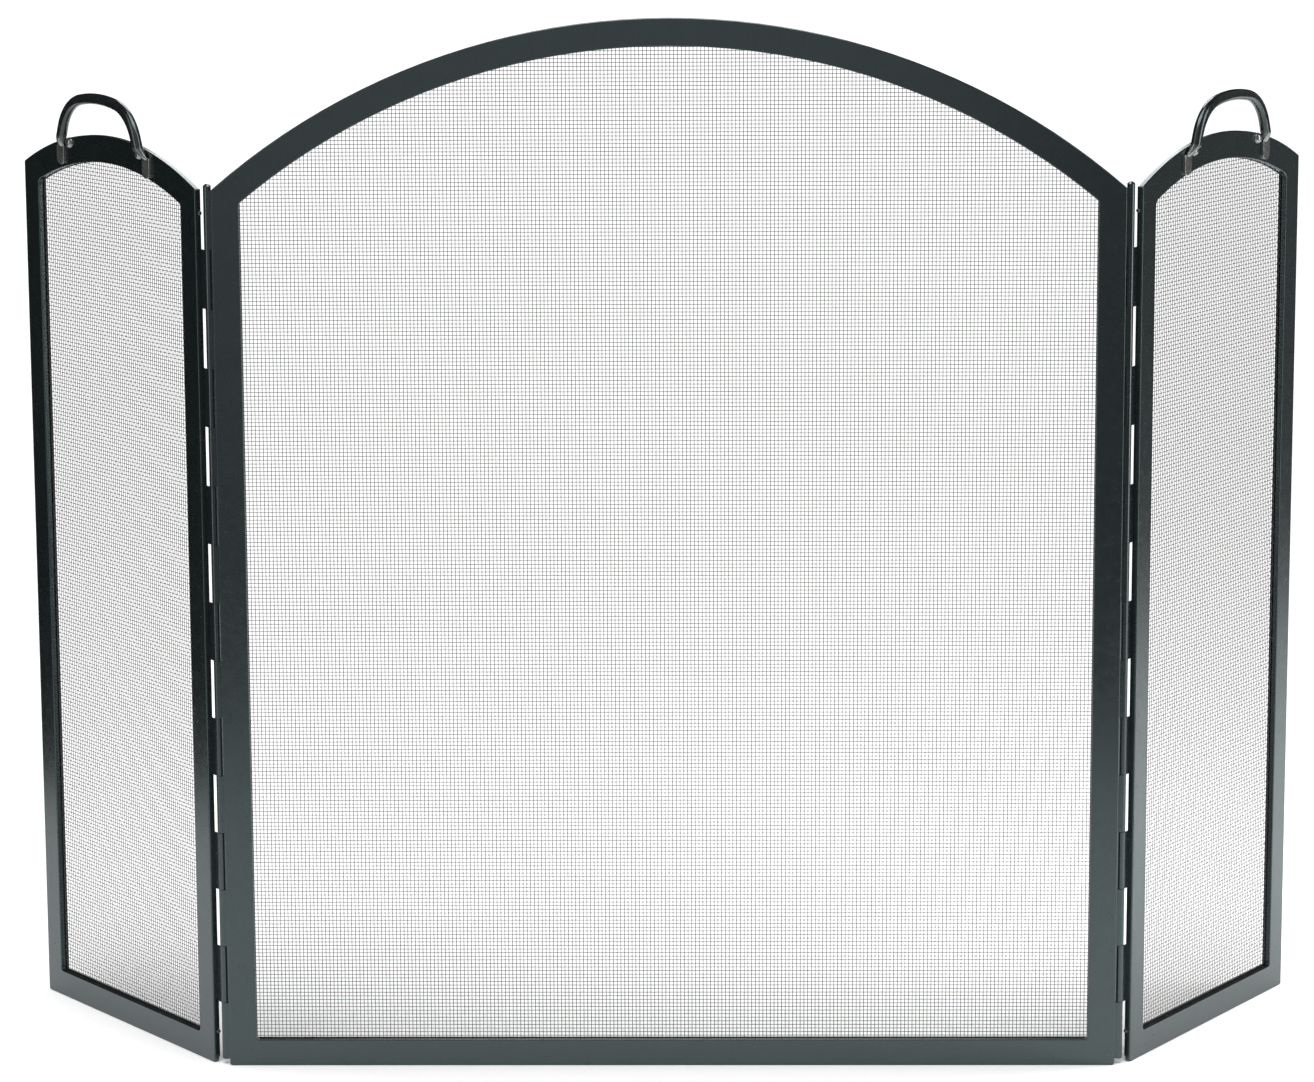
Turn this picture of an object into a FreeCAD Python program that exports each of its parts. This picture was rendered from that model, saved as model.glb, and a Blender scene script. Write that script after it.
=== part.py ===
import FreeCAD, Part
import math
import os

# A free-standing fireplace screen: a wide arched centre panel with a narrower arched panel
# hinged to each side. Every panel is a welded front frame of flat bar, a sheet of woven wire
# mesh behind it, and thin retainers behind the mesh. Each side panel has a forged loop handle.
#
# Millimetres. X to the right, Y towards the fire, Z up. The origin is on the floor, in the
# middle of the centre panel's bottom rail.

# ---------------------------------------------------------------- panels
CENTRE_WIDTH = 754.0            # over the stiles
SIDE_WIDTH = 281.0
SHOULDER_HEIGHT = 750.0         # floor to the foot of every arch
CENTRE_RISE = 140.5             # of the arch above the shoulders
SIDE_RISE = 32.5

BAR_FACE = 23.0                 # flat bar of the front frames
BAR_DEPTH = 4.5
BAR_EDGE_RADIUS = 0.9
FLOOR_CORNER_RADIUS = 2.5       # outer corners of a frame at the floor
SHOULDER_CORNER_RADIUS = 1.5
OPENING_SHOULDER_RADIUS = 6.0   # corners inside the frame
OPENING_FLOOR_RADIUS = 2.5

MESH_LAYER = 1.0                # thickness of the woven mesh, and of the hinge leaves beside it
MESH_MARGIN = 8.0               # mesh held between frame and retainer
RETAINER_DEPTH = 1.8
RETAINER_INSET = 10.0           # from the outer edge of the front frame, clear of the rivets
RETAINER_LIP = 0.4              # seen inside the frame's opening

FRONT_Y = -BAR_DEPTH / 2
MESH_Y = FRONT_Y + BAR_DEPTH
RETAINER_Y = MESH_Y + MESH_LAYER

# ---------------------------------------------------------------- hinges
LEFT_FOLD = 52.0                # degrees that each side panel stands folded back
RIGHT_FOLD = 56.2
CENTRE_GAP = 3.7                # hinge axis to the edge of the centre panel's stile
SIDE_GAP = 6.8                  # hinge axis to the edge of the side panel's stile
HINGE_BOTTOM = 4.5
HINGE_TOP = 750.0               # of the leaves
TOP_REACH = 3.0                 # of the uppermost knuckle above the leaves
KNUCKLES = 15                   # even ones, from the bottom, are on the centre panel's leaf
KNUCKLE_RADIUS = 3.3
KNUCKLE_SPACE = 0.4             # between neighbouring knuckles
LEAF_COVER = 12.5               # leaf width held behind the stile
PIN_RADIUS = 2.0
PIN_CLEARANCE = 0.05
PIN_HEAD_HEIGHT = 1.8
PIN_TAIL_RADIUS = 3.0
PIN_TAIL_HEIGHT = 1.0
TACK_RADIUS = 2.0
TACK_INTO_STILE = 0.3
TACK_HEIGHTS = (27.0, 730.0)

HINGE_X = CENTRE_WIDTH / 2 + CENTRE_GAP
HINGE_Y = MESH_Y + KNUCKLE_RADIUS

# ---------------------------------------------------------------- handles
HANDLE_SHIFT = 3.6              # handle and rivets sit this far outward of the panel's middle
ROD_RADIUS = 4.6
ROD_STANDOFF = 4.85             # rod centre line to the front of the arch
CROWN_HEIGHT = 814.0            # of the rod's centre line
CROWN_RADIUS = 165.0
CROWN_TURN = 10.3               # degrees from the middle to the end of the crown arc
LOOP_END_RADIUS = 40.0
LEG_SLANT = 20.0                # degrees that the legs splay
LEG_END = 777.0
FOOT_OFFSET = 70.5              # foot centre from the middle of the handle
FOOT_WIDTH = 11.5
FOOT_BOTTOM = 752.5
FOOT_TOP = 770.0
FOOT_THICKNESS = 2.4
FOOT_LOW_RADIUS = 5.2
FOOT_TOP_RADIUS = 2.5
FOOT_EDGE_RADIUS = 0.6
# Level sections of the neck between the leg and the foot: offset from the middle of the
# handle, height, standoff from the arch, half width, half depth.
NECK_MIDDLE = (66.8, 772.5, 3.4, 4.3, 3.0)
NECK_END = (69.6, 768.0, 1.3, 4.6, 1.0)

RIVET_OFFSET = 57.5             # from the middle of the handle
RIVET_HEIGHT = 772.0
RIVET_HEAD_RADIUS = 4.75
RIVET_HEAD_HEIGHT = 4.0
RIVET_TAIL_RADIUS = 3.2
RIVET_TAIL_HEIGHT = 0.8
RIVET_SHANK_RADIUS = 2.0
RIVET_CLEARANCE = 0.1

UP = FreeCAD.Vector(0, 0, 1)
REARWARD = FreeCAD.Vector(0, 1, 0)
PARTING_REACH = 30.0            # how far the parting planes run past a frame's corners
ABOVE_ALL = 1200.0


def point(x, z, y=0.0):
    return FreeCAD.Vector(x, y, z)


def arched_wire(width, rise, inset):
    """Outline of an arched panel, moved inwards by inset all round, with a concentric arch."""
    radius = (width ** 2 / 4 + rise ** 2) / (2 * rise)
    arch_centre = SHOULDER_HEIGHT + rise - radius
    half = width / 2 - inset
    shoulder = arch_centre + math.sqrt((radius - inset) ** 2 - half ** 2)
    crown = arch_centre + radius - inset
    sides = [point(-half, shoulder), point(-half, inset), point(half, inset), point(half, shoulder)]
    edges = [Part.LineSegment(a, b).toShape() for a, b in zip(sides, sides[1:])]
    edges.append(Part.Arc(point(half, shoulder), point(0, crown), point(-half, shoulder)).toShape())
    return Part.Wire(edges)


def shoulder_height(width, rise, inset):
    """Height at which the inset arch meets the inset side of the panel."""
    radius = (width ** 2 / 4 + rise ** 2) / (2 * rise)
    half = width / 2 - inset
    return SHOULDER_HEIGHT + rise - radius + math.sqrt((radius - inset) ** 2 - half ** 2)


def plate(wire, front, depth):
    """Flat plate on an outline in the XZ plane, from y = front rearwards."""
    solid = Part.Face(wire).extrude(REARWARD * depth)
    solid.translate(REARWARD * front)
    return solid


def edges_along_y(shape, below):
    """The corner edges of a plate, either those near the floor or those near the shoulders."""
    found = []
    for edge in shape.Edges:
        ends = [vertex.Point for vertex in edge.Vertexes]
        runs_along_y = len(ends) == 2 and abs(ends[0].z - ends[1].z) < 1e-6 \
            and abs(ends[0].x - ends[1].x) < 1e-6
        if runs_along_y and (ends[0].z < SHOULDER_HEIGHT / 2) == below:
            found.append(edge)
    return found


def rounded_plate(wire, front, depth, floor_radius, shoulder_radius):
    solid = plate(wire, front, depth)
    solid = solid.makeFillet(floor_radius, edges_along_y(solid, True))
    return solid.makeFillet(shoulder_radius, edges_along_y(solid, False))


def front_frame(width, rise):
    """Whole front frame of a panel, with its front edges rounded inside and out."""
    outer = rounded_plate(arched_wire(width, rise, 0), FRONT_Y, BAR_DEPTH,
                          FLOOR_CORNER_RADIUS, SHOULDER_CORNER_RADIUS)
    opening = rounded_plate(arched_wire(width, rise, BAR_FACE), FRONT_Y, BAR_DEPTH,
                            OPENING_FLOOR_RADIUS, OPENING_SHOULDER_RADIUS)
    frame = outer.cut(opening)
    front_edges = [edge for edge in frame.Edges
                   if all(abs(vertex.Point.y - FRONT_Y) < 1e-6 for vertex in edge.Vertexes)]
    return frame.makeFillet(BAR_EDGE_RADIUS, front_edges)


def retainer_frame(width, rise):
    """The thin frame behind the mesh."""
    outer = plate(arched_wire(width, rise, RETAINER_INSET), RETAINER_Y, RETAINER_DEPTH)
    opening = plate(arched_wire(width, rise, BAR_FACE + RETAINER_LIP), RETAINER_Y, RETAINER_DEPTH)
    return outer.cut(opening)


def parting_blocks(width, rise):
    """Blocks that part a frame into its four bars, along the mitre of each corner."""
    half = width / 2
    low_out, low_in = -PARTING_REACH, PARTING_REACH
    slope = (shoulder_height(width, rise, BAR_FACE) - SHOULDER_HEIGHT) / BAR_FACE
    high_out = SHOULDER_HEIGHT - slope * PARTING_REACH
    high_in = SHOULDER_HEIGHT + slope * PARTING_REACH
    left_out, left_in = -half - PARTING_REACH, -half + PARTING_REACH
    outlines = {
        "left": [(left_out, low_out), (left_in, low_in), (left_in, high_in), (left_out, high_out)],
        "right": [(-left_out, low_out), (-left_in, low_in), (-left_in, high_in), (-left_out, high_out)],
        "bottom": [(left_out, low_out), (left_in, low_in), (-left_in, low_in), (-left_out, low_out)],
        "arch": [(left_out, high_out), (left_in, high_in), (-left_in, high_in), (-left_out, high_out),
                 (-left_out, ABOVE_ALL), (left_out, ABOVE_ALL)],
    }
    blocks = {}
    for name, corners in outlines.items():
        wire = Part.makePolygon([point(x, z) for x, z in corners + corners[:1]])
        blocks[name] = plate(wire, -PARTING_REACH, 2 * PARTING_REACH)
    return blocks


def panel_pieces(width, rise):
    """Bars, mesh and retainers of one panel, standing in the middle of the XZ plane."""
    frame = front_frame(width, rise)
    retainers = retainer_frame(width, rise)
    pieces = {"mesh": plate(arched_wire(width, rise, BAR_FACE - MESH_MARGIN), MESH_Y, MESH_LAYER)}
    for name, block in parting_blocks(width, rise).items():
        pieces[name + "_bar"] = frame.common(block)
        pieces[name + "_retainer"] = retainers.common(block)
    return pieces


def knuckle_span(index):
    """Bottom and height of one knuckle."""
    pitch = (HINGE_TOP - HINGE_BOTTOM) / KNUCKLES
    return HINGE_BOTTOM + index * pitch + KNUCKLE_SPACE / 2, pitch - KNUCKLE_SPACE


def hinge_leaf(knuckles, gap):
    """Leaf held behind a stile that ends at x = -gap, with knuckles round the Z axis.

    The leaf's front face is tangent to the knuckles, as on a rolled leaf. Each knuckle is a solid
    that meets the leaf's edge face to face, with the other leaf's knuckles in the gaps between.
    """
    height = HINGE_TOP - HINGE_BOTTOM
    solids = [Part.makeBox(LEAF_COVER, MESH_LAYER, height,
                           point(-gap - LEAF_COVER, HINGE_BOTTOM, -KNUCKLE_RADIUS))]
    bore = Part.makeCylinder(PIN_RADIUS + PIN_CLEARANCE, height + TOP_REACH, point(0, HINGE_BOTTOM), UP)
    for index in knuckles:
        bottom, length = knuckle_span(index)
        tab = Part.makeBox(gap, MESH_LAYER, length, point(-gap, bottom, -KNUCKLE_RADIUS))
        if index == KNUCKLES - 1:
            length += TOP_REACH
        barrel = Part.makeCylinder(KNUCKLE_RADIUS, length, point(0, bottom), UP)
        solids.append(barrel.fuse(tab).cut(bore).removeSplitter().Solids[0])
    return Part.makeCompound(solids)


def dome(base, direction, radius, height):
    """Spherical cap on a round base, rising along direction."""
    ball_radius = (radius ** 2 + height ** 2) / (2 * height)
    ball = Part.makeSphere(ball_radius, base - direction * (ball_radius - height))
    return ball.common(Part.makeCylinder(radius, height, base, direction))


def hinge_pin():
    """Pin on the Z axis, with a domed head on the top knuckle and a peened tail."""
    top = HINGE_TOP + TOP_REACH
    pin = Part.makeCylinder(PIN_RADIUS, top - HINGE_BOTTOM, point(0, HINGE_BOTTOM), UP)
    head = dome(point(0, top), UP, KNUCKLE_RADIUS, PIN_HEAD_HEIGHT)
    tail = dome(point(0, HINGE_BOTTOM), -UP, PIN_TAIL_RADIUS, PIN_TAIL_HEIGHT)
    return pin.fuse([head, tail]).removeSplitter()


def tack_welds():
    """Beads where the side leaf is tacked to the edge of its stile, at x = SIDE_GAP."""
    beads = []
    for height in TACK_HEIGHTS:
        bead = Part.makeSphere(TACK_RADIUS, point(SIDE_GAP + TACK_INTO_STILE, height, -KNUCKLE_RADIUS))
        beyond = Part.makeBox(BAR_FACE, BAR_FACE, BAR_FACE,
                              point(SIDE_GAP, height - BAR_FACE / 2, -KNUCKLE_RADIUS - BAR_FACE / 2))
        beads.append(bead.cut(beyond))
    return Part.makeCompound(beads)


def arc_point(centre_x, centre_z, radius, turn):
    """Point in the rod's plane, turned by so many degrees from the top of a circle towards +X."""
    angle = math.radians(turn)
    return point(centre_x + radius * math.sin(angle), centre_z + radius * math.cos(angle),
                 FRONT_Y - ROD_STANDOFF)


def loop_side():
    """Right-hand side of the rod's centre line: crown, join, middle and foot of the end arc, leg end."""
    crown_z = CROWN_HEIGHT - CROWN_RADIUS
    end_centre = arc_point(0, crown_z, CROWN_RADIUS - LOOP_END_RADIUS, CROWN_TURN)
    last_turn = 90.0 - LEG_SLANT
    crown, join = (arc_point(0, crown_z, CROWN_RADIUS, turn) for turn in (0, CROWN_TURN))
    middle, leg_top = (arc_point(end_centre.x, end_centre.z, LOOP_END_RADIUS, turn)
                       for turn in ((CROWN_TURN + last_turn) / 2, last_turn))
    splay = (leg_top.z - LEG_END) * math.tan(math.radians(LEG_SLANT))
    return crown, join, middle, leg_top, point(leg_top.x + splay, LEG_END, leg_top.y)


def loop_path():
    """Centre line of a handle's rod, from the left leg's end to the right one's."""
    crown, join, middle, leg_top, leg_end = loop_side()
    left_join, left_middle, left_leg_top, left_leg_end = (
        point(-place.x, place.z, place.y) for place in (join, middle, leg_top, leg_end))
    return Part.Wire([
        Part.LineSegment(left_leg_end, left_leg_top).toShape(),
        Part.Arc(left_leg_top, left_middle, left_join).toShape(),
        Part.Arc(left_join, crown, join).toShape(),
        Part.Arc(join, middle, leg_top).toShape(),
        Part.LineSegment(leg_top, leg_end).toShape(),
    ])


def rod_section(side):
    """Round section of the rod at a leg's end, square to the leg; side is 1 or -1."""
    leg_end = loop_side()[-1]
    centre = point(side * leg_end.x, leg_end.z, leg_end.y)
    section = Part.Wire([Part.Circle(centre, UP, ROD_RADIUS).toShape()])
    return section.rotated(centre, REARWARD, side * -LEG_SLANT)


def flat_section(x, z, standoff, half_width, half_depth):
    """Elliptical section of the drawn-down neck, level, standoff in front of the arch."""
    centre = point(x, z, FRONT_Y - standoff)
    ellipse = Part.Ellipse(centre + FreeCAD.Vector(half_width, 0, 0),
                           centre + FreeCAD.Vector(0, half_depth, 0), centre)
    return Part.Wire([ellipse.toShape()])


def handle_foot():
    """Hammered foot at the right-hand end of the rod, flat against the arch."""
    left, right = FOOT_OFFSET - FOOT_WIDTH / 2, FOOT_OFFSET + FOOT_WIDTH / 2
    corners = [(left, FOOT_BOTTOM), (right, FOOT_BOTTOM), (right, FOOT_TOP), (left, FOOT_TOP)]
    wire = Part.makePolygon([point(x, z) for x, z in corners + corners[:1]])
    foot = plate(wire, FRONT_Y - FOOT_THICKNESS, FOOT_THICKNESS)
    uprights = [edge for edge in foot.Edges if abs(edge.Vertexes[0].Y - edge.Vertexes[1].Y) > 1e-6]
    low = [edge for edge in uprights if edge.Vertexes[0].Z < FOOT_BOTTOM + 1]
    foot = foot.makeFillet(FOOT_LOW_RADIUS, low)
    high = [edge for edge in foot.Edges
            if abs(edge.Vertexes[0].Z - FOOT_TOP) < 1e-6 and abs(edge.Vertexes[-1].Z - FOOT_TOP) < 1e-6
            and abs(edge.Vertexes[0].Y - edge.Vertexes[-1].Y) > 1e-6]
    foot = foot.makeFillet(FOOT_TOP_RADIUS, high)
    face_edges = [edge for edge in foot.Edges
                  if all(abs(vertex.Y - (FRONT_Y - FOOT_THICKNESS)) < 1e-6 for vertex in edge.Vertexes)]
    return foot.makeFillet(FOOT_EDGE_RADIUS, face_edges)


def handle():
    """Rod bent to a loop; its ends are drawn down and hammered into flat feet."""
    rod = loop_path().makePipeShell([rod_section(-1)], True, False)
    neck = Part.makeLoft([rod_section(1), flat_section(*NECK_MIDDLE), flat_section(*NECK_END)],
                         True, False)
    end = neck.fuse(handle_foot())
    return rod.fuse([end, end.mirror(point(0, 0), FreeCAD.Vector(1, 0, 0))]).removeSplitter()


def rivet(x):
    """Domed rivet through the arch, peened on its back."""
    front = point(x, RIVET_HEIGHT, FRONT_Y)
    rear = point(x, RIVET_HEIGHT, MESH_Y)
    shank = Part.makeCylinder(RIVET_SHANK_RADIUS, rear.y - front.y, front, REARWARD)
    head = dome(front, -REARWARD, RIVET_HEAD_RADIUS, RIVET_HEAD_HEIGHT)
    tail = dome(rear, REARWARD, RIVET_TAIL_RADIUS, RIVET_TAIL_HEIGHT)
    return shank.fuse([head, tail]).removeSplitter()


def rivet_hole(x):
    return Part.makeCylinder(RIVET_SHANK_RADIUS + RIVET_CLEARANCE, 2 * BAR_FACE,
                             point(x, RIVET_HEIGHT, -BAR_FACE), REARWARD)


def centre_nodes():
    pieces = panel_pieces(CENTRE_WIDTH, CENTRE_RISE)
    nodes = {
        "centre_left_stile": pieces["left_bar"],
        "centre_right_stile": pieces["right_bar"],
        "centre_bottom_rail": pieces["bottom_bar"],
        "centre_arch": pieces["arch_bar"],
        "centre_mesh": pieces["mesh"],
        "centre_left_retainer": pieces["left_retainer"],
        "centre_right_retainer": pieces["right_retainer"],
        "centre_bottom_retainer": pieces["bottom_retainer"],
        "centre_arch_retainer": pieces["arch_retainer"],
    }
    leaf = hinge_leaf(range(0, KNUCKLES, 2), CENTRE_GAP)
    at_right_hinge = FreeCAD.Vector(HINGE_X, HINGE_Y, 0)
    for name, shape in (("hinge_centre_leaf", leaf), ("hinge_pin", hinge_pin())):
        right = shape.translated(at_right_hinge)
        nodes["right_" + name] = right
        nodes["left_" + name] = right.mirror(point(0, 0), FreeCAD.Vector(1, 0, 0))
    return nodes


def side_nodes():
    """Pieces of the right panel before folding, with the hinge axis on the Z axis."""
    pieces = panel_pieces(SIDE_WIDTH, SIDE_RISE)
    rivet_places = (HANDLE_SHIFT - RIVET_OFFSET, HANDLE_SHIFT + RIVET_OFFSET)
    pieces["arch_bar"] = pieces["arch_bar"].cut([rivet_hole(x) for x in rivet_places])
    nodes = {
        "inner_stile": pieces["left_bar"],
        "outer_stile": pieces["right_bar"],
        "bottom_rail": pieces["bottom_bar"],
        "arch": pieces["arch_bar"],
        "mesh": pieces["mesh"],
        "inner_retainer": pieces["left_retainer"],
        "outer_retainer": pieces["right_retainer"],
        "bottom_retainer": pieces["bottom_retainer"],
        "arch_retainer": pieces["arch_retainer"],
        "handle": handle().translated(FreeCAD.Vector(HANDLE_SHIFT, 0, 0)),
        "arch_rivets": Part.makeCompound([rivet(x) for x in rivet_places]),
    }
    from_axis = FreeCAD.Vector(SIDE_GAP + SIDE_WIDTH / 2, -HINGE_Y, 0)
    nodes = {name: shape.translated(from_axis) for name, shape in nodes.items()}
    leaf = hinge_leaf(range(1, KNUCKLES, 2), SIDE_GAP)
    nodes["hinge_side_leaf"] = leaf.mirror(point(0, 0), FreeCAD.Vector(1, 0, 0))
    nodes["hinge_tack_welds"] = tack_welds()
    return nodes


def folded(shape, angle):
    """The right panel's shape turned back about the hinge and moved to its place."""
    turned = shape.rotated(point(0, 0), UP, angle)
    return turned.translated(FreeCAD.Vector(HINGE_X, HINGE_Y, 0))


def build():
    nodes = centre_nodes()
    for name, shape in side_nodes().items():
        nodes["right_" + name] = folded(shape, RIGHT_FOLD)
        left = folded(shape, LEFT_FOLD)
        nodes["left_" + name] = left.mirror(point(0, 0), FreeCAD.Vector(1, 0, 0))
    return nodes


os.makedirs("parts", exist_ok=True)
for node, shape in build().items():
    shape.exportStep("parts/" + node + ".step")
    print(node, len(shape.Solids), shape.isValid(), round(shape.Volume))
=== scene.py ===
import math

import bmesh
import bpy
from mathutils import Matrix, Vector


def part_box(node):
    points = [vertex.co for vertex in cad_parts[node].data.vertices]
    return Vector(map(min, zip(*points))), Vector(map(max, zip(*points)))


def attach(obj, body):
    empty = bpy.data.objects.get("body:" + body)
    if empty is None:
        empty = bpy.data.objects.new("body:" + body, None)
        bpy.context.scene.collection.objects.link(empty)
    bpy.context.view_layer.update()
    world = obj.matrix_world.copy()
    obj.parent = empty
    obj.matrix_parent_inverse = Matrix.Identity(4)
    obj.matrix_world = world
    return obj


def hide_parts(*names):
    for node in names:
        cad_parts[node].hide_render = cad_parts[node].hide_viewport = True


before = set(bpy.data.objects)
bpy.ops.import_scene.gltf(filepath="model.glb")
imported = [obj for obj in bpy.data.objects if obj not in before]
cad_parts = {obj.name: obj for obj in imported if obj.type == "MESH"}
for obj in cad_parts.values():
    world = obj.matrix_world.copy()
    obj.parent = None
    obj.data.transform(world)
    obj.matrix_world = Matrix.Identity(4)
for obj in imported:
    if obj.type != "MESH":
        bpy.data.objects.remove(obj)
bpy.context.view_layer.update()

# A three-fold fireplace screen: graphite-coated flat bar frames, woven steel mesh and forged
# loop handles. Metres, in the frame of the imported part: X to the right, Y to the fire, Z up.

# ---------------------------------------------------------------- the screen's own sizes
MM = 0.001
CENTRE_WIDTH = 754.0 * MM
SIDE_WIDTH = 281.0 * MM
SHOULDER = 750.0 * MM           # floor to the foot of every arch
CENTRE_RISE = 140.5 * MM
SIDE_RISE = 32.5 * MM
LEFT_FOLD = math.radians(52.0)
RIGHT_FOLD = math.radians(56.2)
STILE_TO_PIN = 6.8 * MM

hinge_pin_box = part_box("right_hinge_pin")
HINGE_X = (hinge_pin_box[0].x + hinge_pin_box[1].x) / 2
HINGE_Y = (hinge_pin_box[0].y + hinge_pin_box[1].y) / 2
mesh_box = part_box("centre_mesh")
MESH_Y = (mesh_box[0].y + mesh_box[1].y) / 2
MESH_INSET = CENTRE_WIDTH / 2 - mesh_box[1].x

# the woven mesh
WIRE_PITCH = 3.175 * MM         # eight wires to the inch, both ways
WIRE_RADIUS = 0.29 * MM
WIRE_CRIMP = 0.25 * MM          # how far a wire swings to each side as it weaves
WIRE_SIDES = 3
STRAND_CROSSINGS = 300          # more than the longest wire has

# the handles' rods are lacquered down to here, and rubbed bare below
LACQUER_END = 779.0 * MM
BARE_BELOW = 769.0 * MM


def placing(panel):
    """Matrix from a panel's own frame, standing in the XZ plane, to its place on the screen."""
    if panel == "centre":
        return Matrix.Identity(4)
    fold = LEFT_FOLD if panel == "left" else RIGHT_FOLD
    right = (Matrix.Translation((HINGE_X, HINGE_Y, 0)) @ Matrix.Rotation(fold, 4, "Z")
             @ Matrix.Translation((STILE_TO_PIN + SIDE_WIDTH / 2, -HINGE_Y, 0)))
    return Matrix.Scale(-1, 4, (1, 0, 0)) @ right if panel == "left" else right


def size_of(panel):
    """Width of a panel and rise of its arch."""
    return (CENTRE_WIDTH, CENTRE_RISE) if panel == "centre" else (SIDE_WIDTH, SIDE_RISE)


def arch_of(panel, inset):
    """Radius and centre height of a panel's arch, moved inwards by inset."""
    width, rise = size_of(panel)
    radius = (width ** 2 / 4 + rise ** 2) / (2 * rise)
    return radius - inset, SHOULDER + rise - radius


# ---------------------------------------------------------------- materials
def new_material(name):
    """Material and its shader."""
    material = bpy.data.materials.new(name)
    material.use_nodes = True
    return material, material.node_tree.nodes["Principled BSDF"]


def node(material, kind, **inputs):
    """New node with its inputs set; an underscore stands for a space in an input's name."""
    made = material.node_tree.nodes.new(kind)
    for key, value in inputs.items():
        made.inputs[key.replace("_", " ")].default_value = value
    return made


def link(material, source, target):
    material.node_tree.links.new(source, target)


def noise(material, scale, detail=3.0, roughness=0.5):
    """Noise on the piece's own coordinates; scale is features per metre."""
    coordinates = node(material, "ShaderNodeTexCoord")
    texture = node(material, "ShaderNodeTexNoise", Scale=scale, Detail=detail, Roughness=roughness)
    link(material, coordinates.outputs["Object"], texture.inputs["Vector"])
    return texture.outputs["Fac"]


def ramp(material, factor, stops):
    """Colour ramp through (position, colour) stops."""
    made = node(material, "ShaderNodeValToRGB")
    elements = made.color_ramp.elements
    elements[0].position, elements[0].color = stops[0][0], (*stops[0][1], 1)
    elements[1].position, elements[1].color = stops[-1][0], (*stops[-1][1], 1)
    for position, colour in stops[1:-1]:
        elements.new(position).color = (*colour, 1)
    link(material, factor, made.inputs["Fac"])
    return made.outputs["Color"]


def spread(material, factor, low, high):
    """Noise stretched from low to high."""
    made = node(material, "ShaderNodeMapRange")
    made.inputs["From Min"].default_value = 0.3
    made.inputs["From Max"].default_value = 0.7
    made.inputs["To Min"].default_value = low
    made.inputs["To Max"].default_value = high
    link(material, factor, made.inputs["Value"])
    return made.outputs["Result"]


def bump(material, shader, height, distance, strength):
    """Fine relief, as deep as distance where height goes from 0 to 1."""
    made = node(material, "ShaderNodeBump", Strength=strength, Distance=distance)
    link(material, height, made.inputs["Height"])
    link(material, made.outputs["Normal"], shader.inputs["Normal"])


def coating():
    """Graphite powder coat: nearly black, satin, with a faint orange peel."""
    material, shader = new_material("graphite_powder_coat")
    mottle = noise(material, 45, 5, 0.6)
    colour = ramp(material, mottle, [(0.3, (0.0055, 0.0082, 0.0088)), (0.7, (0.0076, 0.0113, 0.0120))])
    link(material, colour, shader.inputs["Base Color"])
    sheen = spread(material, noise(material, 160, 4, 0.6), 0.21, 0.28)
    link(material, sheen, shader.inputs["Roughness"])
    shader.inputs["IOR"].default_value = 1.8
    shader.inputs["Specular Tint"].default_value = (0.80, 0.98, 1.0, 1)
    bump(material, shader, noise(material, 1400, 2, 0.5), 0.02 * MM, 0.35)
    return material


def retainer_paint():
    """Dull black paint on the strips behind the mesh."""
    material, shader = new_material("black_strip_paint")
    colour = ramp(material, noise(material, 80, 5, 0.6),
                  [(0.3, (0.005, 0.006, 0.007)), (0.7, (0.009, 0.010, 0.012))])
    link(material, colour, shader.inputs["Base Color"])
    link(material, spread(material, noise(material, 220, 3), 0.40, 0.52), shader.inputs["Roughness"])
    bump(material, shader, noise(material, 1100, 2), 0.03 * MM, 0.4)
    return material


def wire_finish():
    """Dark oxide on drawn wire, thinner here and there."""
    material, shader = new_material("dark_drawn_wire")
    colour = ramp(material, noise(material, 500, 3),
                  [(0.35, (0.045, 0.046, 0.047)), (0.65, (0.10, 0.098, 0.095))])
    link(material, colour, shader.inputs["Base Color"])
    shader.inputs["Metallic"].default_value = 0.75
    link(material, spread(material, noise(material, 900, 2), 0.30, 0.42), shader.inputs["Roughness"])
    return material


def handle_finish():
    """Black forged iron under clear lacquer, with hammer marks and feet rubbed to bare metal."""
    material, shader = new_material("lacquered_iron")
    coordinates = node(material, "ShaderNodeTexCoord")
    place = node(material, "ShaderNodeSeparateXYZ")
    link(material, coordinates.outputs["Object"], place.inputs["Vector"])
    bare = node(material, "ShaderNodeMapRange")
    bare.inputs["From Min"].default_value = LACQUER_END
    bare.inputs["From Max"].default_value = BARE_BELOW
    bare.inputs["To Max"].default_value = 0.8
    link(material, place.outputs["Z"], bare.inputs["Value"])
    iron = ramp(material, noise(material, 120, 5, 0.6),
                [(0.3, (0.006, 0.007, 0.007)), (0.55, (0.010, 0.012, 0.012)),
                 (0.75, (0.018, 0.020, 0.020))])
    rubbed = ramp(material, noise(material, 300, 4, 0.6),
                  [(0.3, (0.20, 0.20, 0.19)), (0.7, (0.42, 0.42, 0.40))])
    colour = node(material, "ShaderNodeMixRGB")
    link(material, bare.outputs["Result"], colour.inputs["Fac"])
    link(material, iron, colour.inputs["Color1"])
    link(material, rubbed, colour.inputs["Color2"])
    link(material, colour.outputs["Color"], shader.inputs["Base Color"])
    link(material, bare.outputs["Result"], shader.inputs["Metallic"])
    shader.inputs["IOR"].default_value = 1.65
    shader.inputs["Specular Tint"].default_value = (0.82, 0.98, 1.0, 1)
    link(material, spread(material, noise(material, 260, 4), 0.13, 0.22), shader.inputs["Roughness"])
    bump(material, shader, noise(material, 150, 2), 0.25 * MM, 0.4)
    return material


def steel_finish(name, dark, light):
    """Plain steel with a cloudy shine, from dark to light."""
    material, shader = new_material(name)
    colour = ramp(material, noise(material, 300, 4, 0.6), [(0.35, dark), (0.65, light)])
    link(material, colour, shader.inputs["Base Color"])
    shader.inputs["Metallic"].default_value = 0.9
    link(material, spread(material, noise(material, 500, 3), 0.20, 0.30), shader.inputs["Roughness"])
    return material


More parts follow.
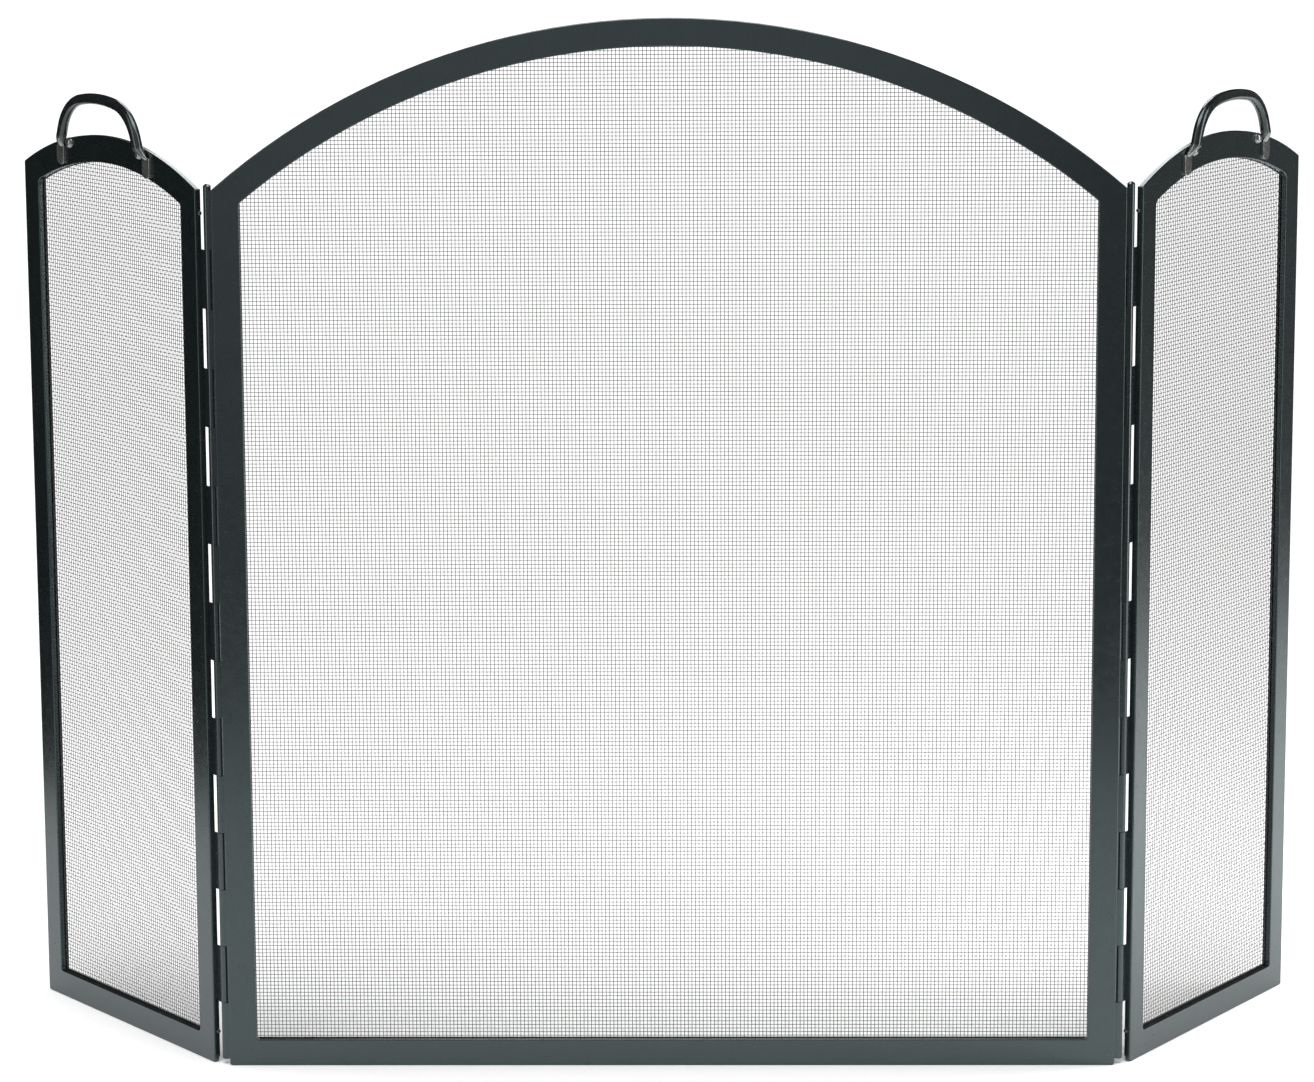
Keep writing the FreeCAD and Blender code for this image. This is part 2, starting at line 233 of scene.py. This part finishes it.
FINISHES = {
    "frame_coating": coating(),
    "retainer_strip": retainer_paint(),
    "mesh_wire": wire_finish(),
    "hinge_steel": coating(),
    "hinge_pin_steel": steel_finish("darkened_pin", (0.08, 0.085, 0.09), (0.15, 0.155, 0.16)),
    "handle_iron": handle_finish(),
    "rivet_steel": steel_finish("burnished_rivet", (0.20, 0.21, 0.21), (0.34, 0.35, 0.35)),
}
for cad_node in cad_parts.values():
    for slot in cad_node.material_slots:
        slot.material = FINISHES[slot.material.name.split(".")[0]]


# ---------------------------------------------------------------- new pieces
def add_piece(name, shape, slot, body, replaced):
    """Turn a bmesh into a piece that rides on a body and stands for a CAD node."""
    for face in shape.faces:
        face.smooth = True
    data = bpy.data.meshes.new(name)
    shape.to_mesh(data)
    shape.free()
    data.materials.append(FINISHES[slot])
    piece = bpy.data.objects.new(name, data)
    bpy.context.scene.collection.objects.link(piece)
    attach(piece, body)
    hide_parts(replaced)


# ---------------------------------------------------------------- woven mesh
def strand(starts_behind):
    """Long crimped wire along Z from the origin, one ring of points at every crossing."""
    wire = bmesh.new()
    ring = bmesh.ops.create_circle(wire, radius=WIRE_RADIUS, segments=WIRE_SIDES)["verts"]
    bmesh.ops.spin(wire, geom=ring + wire.edges[:], axis=(0, 0, 1), angle=0, steps=STRAND_CROSSINGS - 1,
                   dvec=(0, 0, WIRE_PITCH))
    for vertex in wire.verts:
        behind = (round(vertex.co.z / WIRE_PITCH) % 2 == 0) == starts_behind
        vertex.co.y += WIRE_CRIMP if behind else -WIRE_CRIMP
    data = bpy.data.meshes.new("strand")
    wire.to_mesh(data)
    wire.free()
    return data


STRANDS = {starts_behind: strand(starts_behind) for starts_behind in (False, True)}


def cut_wire(crossings, starts_behind):
    """Wire cut from a strand just after its last crossing, with closed ends."""
    wire = bmesh.new()
    wire.from_mesh(STRANDS[starts_behind])
    end = (crossings - 0.5) * WIRE_PITCH
    bmesh.ops.delete(wire, geom=[vertex for vertex in wire.verts if vertex.co.z > end], context="VERTS")
    bmesh.ops.holes_fill(wire, edges=wire.edges[:], sides=WIRE_SIDES)
    return wire


def weave(panel):
    """Warp and weft wires of one panel's mesh: (place, number of crossings, starts behind)."""
    half_width = size_of(panel)[0] / 2 - MESH_INSET
    radius, centre = arch_of(panel, MESH_INSET)
    straight_top = SHOULDER - MESH_INSET
    columns = [(index + 0.5) * WIRE_PITCH for index in
               range(-int(half_width / WIRE_PITCH), int(half_width / WIRE_PITCH))]
    rows = []
    height = MESH_INSET + WIRE_PITCH / 4
    while height < centre + radius:
        rows.append(height)
        height += WIRE_PITCH
    warp = []
    for i, x in enumerate(columns):
        top = centre + math.sqrt(radius ** 2 - x ** 2)
        crossings = sum(z < top for z in rows)
        warp.append((Matrix.Translation((x, MESH_Y, rows[0])), crossings, i % 2 == 0))
    weft = []
    for j, z in enumerate(rows):
        arch_reach = math.sqrt(max(radius ** 2 - (z - centre) ** 2, 0))
        reach = half_width if z < straight_top else min(arch_reach, half_width)
        inside = [i for i, x in enumerate(columns) if abs(x) < reach]
        if len(inside) < 2:
            continue
        lie = Matrix.Translation((columns[inside[0]], MESH_Y, z)) @ Matrix.Rotation(math.pi / 2, 4, "Y")
        weft.append((lie, len(inside), (inside[0] + j) % 2 == 1))
    return warp, weft


def woven_piece(name, wires, panel, body):
    """One piece from many wires of a panel's mesh."""
    cloth = bmesh.new()
    carrier = bpy.data.meshes.new("strand")
    place = placing(panel)
    for lie, crossings, starts_behind in wires:
        wire = cut_wire(crossings, starts_behind)
        bmesh.ops.transform(wire, matrix=place @ lie, verts=wire.verts[:])
        wire.to_mesh(carrier)
        wire.free()
        cloth.from_mesh(carrier)
    bpy.data.meshes.remove(carrier)
    bmesh.ops.recalc_face_normals(cloth, faces=cloth.faces[:])
    add_piece(name, cloth, "mesh_wire", body, panel + "_mesh")


for panel in ("centre", "left", "right"):
    warp, weft = weave(panel)
    if panel == "centre":
        half_across, half_up = len(warp) // 2, len(weft) // 2
        woven_piece("centre_warp_wires_left", warp[:half_across], panel, "centre_panel")
        woven_piece("centre_warp_wires_right", warp[half_across:], panel, "centre_panel")
        woven_piece("centre_weft_wires_lower", weft[:half_up], panel, "centre_panel")
        woven_piece("centre_weft_wires_upper", weft[half_up:], panel, "centre_panel")
    else:
        woven_piece(panel + "_warp_wires", warp, panel, panel + "_panel")
        woven_piece(panel + "_weft_wires", weft, panel, panel + "_panel")
for data in STRANDS.values():
    bpy.data.meshes.remove(data)


# ---------------------------------------------------------------- studio
FLOOR_REACH = 60.0
ROOM_LEFT, ROOM_RIGHT = -1.25, 2.0
ROOM_FRONT, ROOM_BACK = -1.1, 2.6
CEILING = 3.0
LEFT_SEAM, RIGHT_SEAM = -0.5, -0.3    # where the front part of each side cloth begins
HALF_BACK_GAP = 0.5             # the two back cloths leave a gap in the middle
EVEN = ((0, 1), (1, 1))         # ramp stops that change nothing


def stage_plane(name, corners, material):
    """Flat sheet of the studio, which is no part of the screen."""
    shape = bmesh.new()
    shape.faces.new([shape.verts.new(corner) for corner in corners])
    data = bpy.data.meshes.new(name)
    shape.to_mesh(data)
    shape.free()
    data.materials.append(material)
    made = bpy.data.objects.new(name, data)
    bpy.context.scene.collection.objects.link(made)
    return made


def floor_paint():
    """Matt white floor."""
    material, shader = new_material("white_floor")
    colour = ramp(material, noise(material, 0.6, 2), [(0.3, (0.88, 0.88, 0.88)), (0.7, (0.90, 0.90, 0.90))])
    link(material, colour, shader.inputs["Base Color"])
    shader.inputs["Roughness"].default_value = 0.9
    shader.inputs["Specular IOR Level"].default_value = 0.0
    return material


def grey_ramp(material, factor, stops):
    """Ramp through (position, grey) stops."""
    return ramp(material, factor, [(place, (grey, grey, grey)) for place, grey in stops])


def glow(name, strength, rise, run):
    """Lit cloth. rise scales its strength by height, run by place across the room, as ramp stops."""
    material = bpy.data.materials.new(name)
    material.use_nodes = True
    material.node_tree.nodes.clear()
    lamp = node(material, "ShaderNodeEmission", Strength=strength)
    place = node(material, "ShaderNodeSeparateXYZ")
    link(material, node(material, "ShaderNodeTexCoord").outputs["Object"], place.inputs["Vector"])
    height = grey_ramp(material, place.outputs["Z"], rise)
    across = node(material, "ShaderNodeMapRange")
    across.inputs["From Min"].default_value = ROOM_LEFT
    across.inputs["From Max"].default_value = ROOM_RIGHT
    link(material, place.outputs["X"], across.inputs["Value"])
    width = grey_ramp(material, across.outputs["Result"], run)
    both = node(material, "ShaderNodeVectorMath")
    both.operation = "MULTIPLY"
    link(material, height, both.inputs[0])
    link(material, width, both.inputs[1])
    link(material, both.outputs["Vector"], lamp.inputs["Color"])
    output = node(material, "ShaderNodeOutputMaterial")
    link(material, lamp.outputs["Emission"], output.inputs["Surface"])
    return material


def screen_cloth(name, corners, strength, rise=EVEN, run=EVEN):
    """Studio cloth that only shows as a reflection."""
    made = stage_plane(name, corners, glow(name + "_cloth", strength, rise, run))
    made.visible_camera = False
    made.visible_diffuse = False
    made.visible_shadow = False
    made.visible_transmission = False


def upright(x0, y0, x1, y1, low, high):
    """Corners of an upright rectangle over a line on the floor."""
    return [(x0, y0, low), (x1, y1, low), (x1, y1, high), (x0, y0, high)]


def level(x0, x1, y0, y1, z):
    """Corners of a level rectangle at height z."""
    return [(x0, y0, z), (x1, y0, z), (x1, y1, z), (x0, y1, z)]


stage_plane("floor", level(-FLOOR_REACH, FLOOR_REACH, -FLOOR_REACH, FLOOR_REACH, 0), floor_paint())

screen_cloth("left_cloth", upright(ROOM_LEFT, LEFT_SEAM, ROOM_LEFT, ROOM_BACK, 0, CEILING), 0.01)
screen_cloth("left_front_cloth",
             upright(ROOM_LEFT, ROOM_FRONT, ROOM_LEFT, LEFT_SEAM, 0, CEILING), 1.6)
screen_cloth("right_cloth", upright(ROOM_RIGHT, RIGHT_SEAM, ROOM_RIGHT, ROOM_BACK, 0, CEILING), 0.14)
screen_cloth("right_front_cloth",
             upright(ROOM_RIGHT, ROOM_FRONT, ROOM_RIGHT, RIGHT_SEAM, 0, CEILING), 4.5)
screen_cloth("back_left_cloth",
             upright(ROOM_LEFT, ROOM_BACK, -HALF_BACK_GAP, ROOM_BACK, 0, CEILING), 0.02)
screen_cloth("back_right_cloth",
             upright(HALF_BACK_GAP, ROOM_BACK, ROOM_RIGHT, ROOM_BACK, 0, CEILING), 0.02)
screen_cloth("front_cloth", upright(ROOM_LEFT, ROOM_FRONT, ROOM_RIGHT, ROOM_FRONT, 0, CEILING), 1.0,
             rise=((0.0, 0.32), (0.2, 0.20), (0.5, 0.38), (0.75, 0.48)),
             run=((0.18, 0.25), (0.235, 1.0), (0.46, 1.0), (0.54, 0.22)))
screen_cloth("ceiling_cloth", level(ROOM_LEFT, ROOM_RIGHT, ROOM_FRONT, ROOM_BACK, CEILING), 0.02)
screen_cloth("back_top_softbox",
             [(-0.6, 2.55, 2.0), (0.6, 2.55, 2.0), (0.6, 1.6, 2.9), (-0.6, 1.6, 2.9)], 5.0)
screen_cloth("middle_softbox", level(-0.35, 0.35, -0.45, 0.25, 1.6), 5.0)
screen_cloth("left_strip", upright(-1.2, -1.05, -1.0, -1.05, 0.2, 2.0), 3.0,
             rise=((0.3, 0.3), (0.7, 1.0)))

world = bpy.data.worlds.new("studio")
world.use_nodes = True
world.node_tree.nodes["Background"].inputs["Color"].default_value = (1, 1, 1, 1)
world.node_tree.nodes["Background"].inputs["Strength"].default_value = 0.6
bpy.context.scene.world = world


def add_lamp(name, kind, energy, place, tilt=0, turn=0):
    """Lamp that lights the screen but doesn't show as a reflection; angles in degrees."""
    data = bpy.data.lights.new(name, kind)
    data.energy = energy
    made = bpy.data.objects.new(name, data)
    made.location = place
    made.rotation_euler = (math.radians(tilt), 0, math.radians(turn))
    made.visible_glossy = False
    bpy.context.scene.collection.objects.link(made)
    return data


overhead_bank = add_lamp("overhead_bank", "SUN", 2.25, (0, 0, 4), tilt=14, turn=-20)
overhead_bank.angle = math.radians(40)
for name, x, energy in (("left_fill", -1.1, 2), ("right_fill", 1.15, 11)):
    add_lamp(name, "AREA", energy, (x, 0.4, 1.0)).size = 0.5

# ---------------------------------------------------------------- camera
SENSOR_WIDTH = 36.0             # mm, as is the focal length
FOCAL_LENGTH = 127.6192
CAMERA_PLACE = (0.0421, -3.81545, 1.1989)
CAMERA_YAW, CAMERA_PITCH, CAMERA_ROLL = (math.radians(angle) for angle in (-0.791, -11.029, -0.254))

lens = bpy.data.cameras.new("camera")
lens.sensor_width = SENSOR_WIDTH
lens.sensor_fit = "HORIZONTAL"
lens.lens = FOCAL_LENGTH
lens.clip_end = 200.0
camera = bpy.data.objects.new("camera", lens)
forward = Vector((math.sin(CAMERA_YAW) * math.cos(CAMERA_PITCH),
                  math.cos(CAMERA_YAW) * math.cos(CAMERA_PITCH), math.sin(CAMERA_PITCH)))
level_right = forward.cross(Vector((0, 0, 1))).normalized()
level_up = level_right.cross(forward)
right = math.cos(CAMERA_ROLL) * level_right + math.sin(CAMERA_ROLL) * level_up
up = math.cos(CAMERA_ROLL) * level_up - math.sin(CAMERA_ROLL) * level_right
aim = Matrix((right, up, -forward)).transposed().to_4x4()
camera.matrix_world = Matrix.Translation(CAMERA_PLACE) @ aim
bpy.context.scene.collection.objects.link(camera)
bpy.context.scene.camera = camera
bpy.context.scene.view_settings.view_transform = "Standard"
